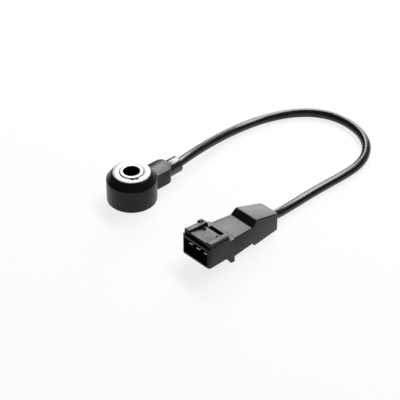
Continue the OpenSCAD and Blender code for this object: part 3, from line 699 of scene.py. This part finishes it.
def plug_shell():
    """The whole connector housing, with the latch's pocket and the way for the terminals."""
    shell = socket_body()
    web = block("web", (13.6, -SOCKET_HALF, 0), (17.2, SOCKET_HALF, COLLAR_TOP))
    pick(web, "EDGE", lambda at, d: abs(d.x) > UPRIGHT)
    bpy.ops.mesh.bevel(offset=0.3 * MM, segments=3)
    key = ease(block("key", (2, -2.15, -1), (14, 2.15, 0.65)), 0.25, 3, 40)
    spigot = block(
        "spigot", (17.9, -SPIGOT_HALF, SPIGOT_LOW), (22.4, SPIGOT_HALF, SPIGOT_HIGH))
    weld(shell, guide_rail(-1), guide_rail(1), latch_ramp(), side_lug(), key, web,
         collar_and_foot(), spigot)
    cut(shell,
        block("latch pocket", (RAMP_BACK, -RAMP_HALF, 8.3), (COLLAR_FRONT, RAMP_HALF, 13)),
        block("window", (11.1, -7, PASSAGE_LOW), (COLLAR_BACK, 7, PASSAGE_HIGH)),
        block("passage", (18, -PASSAGE_HALF, PASSAGE_LOW), (23, PASSAGE_HALF, PASSAGE_HIGH)))
    return smooth(to_plug(shell))


def shaped_sleeve(name, low, high, cuts, places):
    """
    A block cut across at some lengths, whose corners are then moved. Each place has its length
    from the mouth, and there the half width, the bottom, the top and how far the bottom leans.
    """
    piece = block(name, low, high)
    for x in cuts:
        chop(piece, (x, 0, 0), (1, 0, 0))
    for x, (half, bottom, top, lean) in places.items():
        for side in (-1, 1):
            for old, new, along in ((high[2], top, 0), (low[2], bottom, lean)):
                pick(piece, "VERT", lambda at: (
                    near(at.x, x) and at.y * side > 0 and near(at.z, old)))
                slide(x=along, y=side * (half - high[1]), z=new - old)
    lay_down_tools()
    return piece


def boot():
    """The boot: a flat front, a step up to the hump, and the fall to the lead."""
    flat_end, hump_front, room_hump, room_back = 31.9, 35.3, 36.3, 45
    belly, hump_top = -5.1, 10.8
    piece = shaped_sleeve(
        "boot", (COLLAR_BACK, -8.9, -2.8), (BOOT_BACK, 8.9, 9.3), (flat_end, hump_front), {
            flat_end: (7.9, -2.8, 7.8, 0.4),
            hump_front: (7.63, belly, hump_top, -1),
            BOOT_BACK: (6.3, belly, 5.2, 0)})
    pick(piece, "EDGE", lambda at, d: near(at.x, BOOT_BACK) and abs(d.z) > UPRIGHT)
    bpy.ops.mesh.bevel(offset=1.4 * MM, segments=5)
    pick(piece, "EDGE", lambda at, d: (
        near(at.x, 34.3, 1.1) and near(at.z, hump_top) and abs(d.y) > UPRIGHT))
    bpy.ops.mesh.bevel(offset=1.1 * MM, segments=5)
    ease(piece, 0.6, 4, 25)
    cut(piece, block("spigot seat", (18, -7.25, 1.7), (22.5, 7.25, 8.3)))
    core_half, core_low = 3.225, -4.225
    room = shaped_sleeve(
        "wire room", (18, -PASSAGE_HALF, PASSAGE_LOW), (room_back, PASSAGE_HALF, 7.3),
        (flat_end, room_hump), {
            flat_end: (4.1, PASSAGE_LOW, 6.6, 0),
            room_hump: (core_half, core_low, 5, 0),
            room_back: (core_half, core_low, 2.225, 0)})
    cut(piece, room, rod("cable bore", 2.6, (44, 0, BOOT_AXIS), 9.5, "X"))
    return smooth(to_plug(piece))


pieces = {
    "flanged_sleeve": (bolt_sleeve, SLEEVE, "turned_steel"),
    "ring_nut": (face_nut, NUT, "nut_steel"),
    "head_housing": (sensor_body, BODY, "body_plastic"),
    "cable_grommet": (grommet, RUBBER, "grommet_rubber"),
    "connector_housing": (plug_shell, SHELL, "connector_plastic"),
    "connector_boot": (boot, BOOT, "boot_plastic"),
}
made = {}
for node, (maker, material, slot_name) in pieces.items():
    made[node] = maker()
    dress(made[node], material, node)
dress(lead, JACKET, "cable")
on_lead = [made["connector_housing"], made["connector_boot"]] + [
    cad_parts[n] for n in (
        "terminal_carrier", "blade_terminal_1", "blade_terminal_2", "blade_terminal_3",
        "conductor_1", "conductor_2", "conductor_3", "cable_crimp")]


# ---- floor and light ----

lay_down_tools()
bpy.ops.mesh.primitive_plane_add(size=12, location=(0, 0, 0))
floor = bpy.context.object
floor.name = "floor"
WHITE_SHARE = 0.82  # how much of the floor is seen as white, and the rest keeps the shadow
paper = Finish("pale paper", Roughness=0.9, Specular_IOR_Level=0.0)
paper.give("Base Color", (0.9, 0.9, 0.9, 1))
path = paper.node("ShaderNodeLightPath")
seen = path["Is Camera Ray"].sum("MAXIMUM", path["Is Glossy Ray"]).sum(
    "MAXIMUM", path["Is Transmission Ray"])
glow = paper.node("ShaderNodeEmission", None, Color=(1, 1, 1, 1), Strength=1.0)
lit = Value(paper, paper.skin.outputs[0])
share = paper.node("ShaderNodeMixShader", None, seen * WHITE_SHARE, lit, glow[0])
paper.tree.links.new(share[0].socket, paper.tree.nodes["Material Output"].inputs["Surface"])
floor.data.materials.append(paper.material)


AIM = Vector((0.05, -0.03, 0.005))


def softbox(name, direction, distance, size, radiance, long_way):
    """A rectangular lamp that faces the object, its second side along long_way."""
    lamp = bpy.data.lights.new(name, "AREA")
    lamp.shape = "RECTANGLE"
    lamp.size, lamp.size_y = size
    lamp.energy = radiance * math.pi * size[0] * size[1]
    obj = bpy.data.objects.new(name, lamp)
    bpy.context.scene.collection.objects.link(obj)
    way = Vector(direction).normalized()
    obj.location = AIM + way * distance
    along = Vector(long_way)
    along = (along - way * along.dot(way)).normalized()
    turn = Matrix((along.cross(way), along, way)).transposed().to_4x4()
    obj.matrix_world = Matrix.Translation(obj.location) @ turn


softbox("top strip", (0.57, 0.24, 0.79), 1.2, (0.32, 1.5), 14, (0, 0.95, -0.3))
softbox("back panel", (0.8, 0.56, 0.22), 1.4, (0.75, 0.7), 5, (0, 0, 1))
softbox("front strip", (-0.6, -0.8, 0.25), 1.5, (1.4, 0.1), 4, (0, 0, 1))
world = bpy.data.worlds.new("room")
bpy.context.scene.world = world
world.use_nodes = True
walls = world.node_tree.nodes["Background"].inputs
walls["Color"].default_value = (0.08, 0.08, 0.082, 1)
walls["Strength"].default_value = 1.0
bpy.context.scene.view_settings.view_transform = "Standard"
